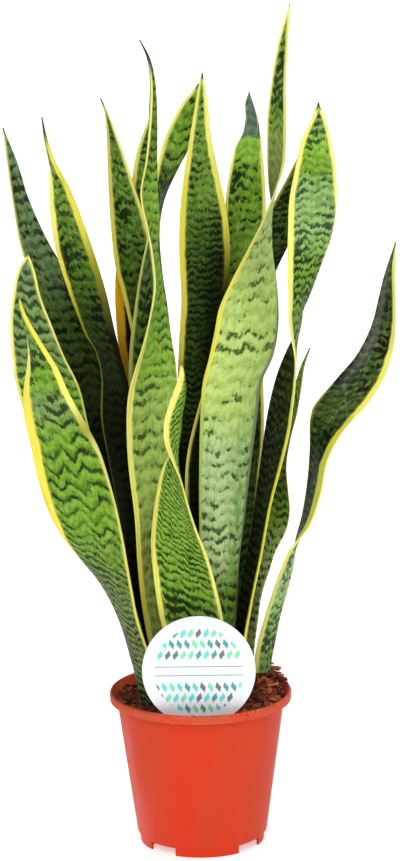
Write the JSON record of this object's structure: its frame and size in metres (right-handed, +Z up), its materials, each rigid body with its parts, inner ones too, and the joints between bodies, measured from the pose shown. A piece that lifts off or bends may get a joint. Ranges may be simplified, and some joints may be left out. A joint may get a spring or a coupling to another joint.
{
  "type": "potted snake plant",
  "caption": "Snake plant of the yellow-edged kind: tall, twisted, dark-banded sword leaves standing in bark soil in a thin round nursery pot with a round stick-in label.",
  "frame": {"origin": "on the ground at the middle of the pot's foot", "axes": "+Z up along the pot's axis; the label faces -Y, the front; +X is to the right as seen from the front"},
  "size_m": [0.2984, 0.1818, 0.644],
  "materials": {
    "pot": "satin terracotta-coloured moulded plastic",
    "soil": "rough damp bark and coir mix",
    "label": "smooth white printed plastic sheet",
    "leaf": "satin waxy leaf, dark cross bands, yellow margins"
  },
  "bodies": {
    "root": {"pot": "pot", "soil": "soil", "label_tag": "label", "leaf_01": "leaf", "leaf_02": "leaf", "leaf_03": "leaf", "leaf_04": "leaf", "leaf_05": "leaf", "leaf_06": "leaf", "leaf_07": "leaf", "leaf_08": "leaf", "leaf_09": "leaf", "leaf_10": "leaf", "leaf_11": "leaf", "leaf_12": "leaf", "leaf_13": "leaf", "leaf_14": "leaf", "leaf_15": "leaf", "leaf_16": "leaf"}
  },
  "joints": []
}
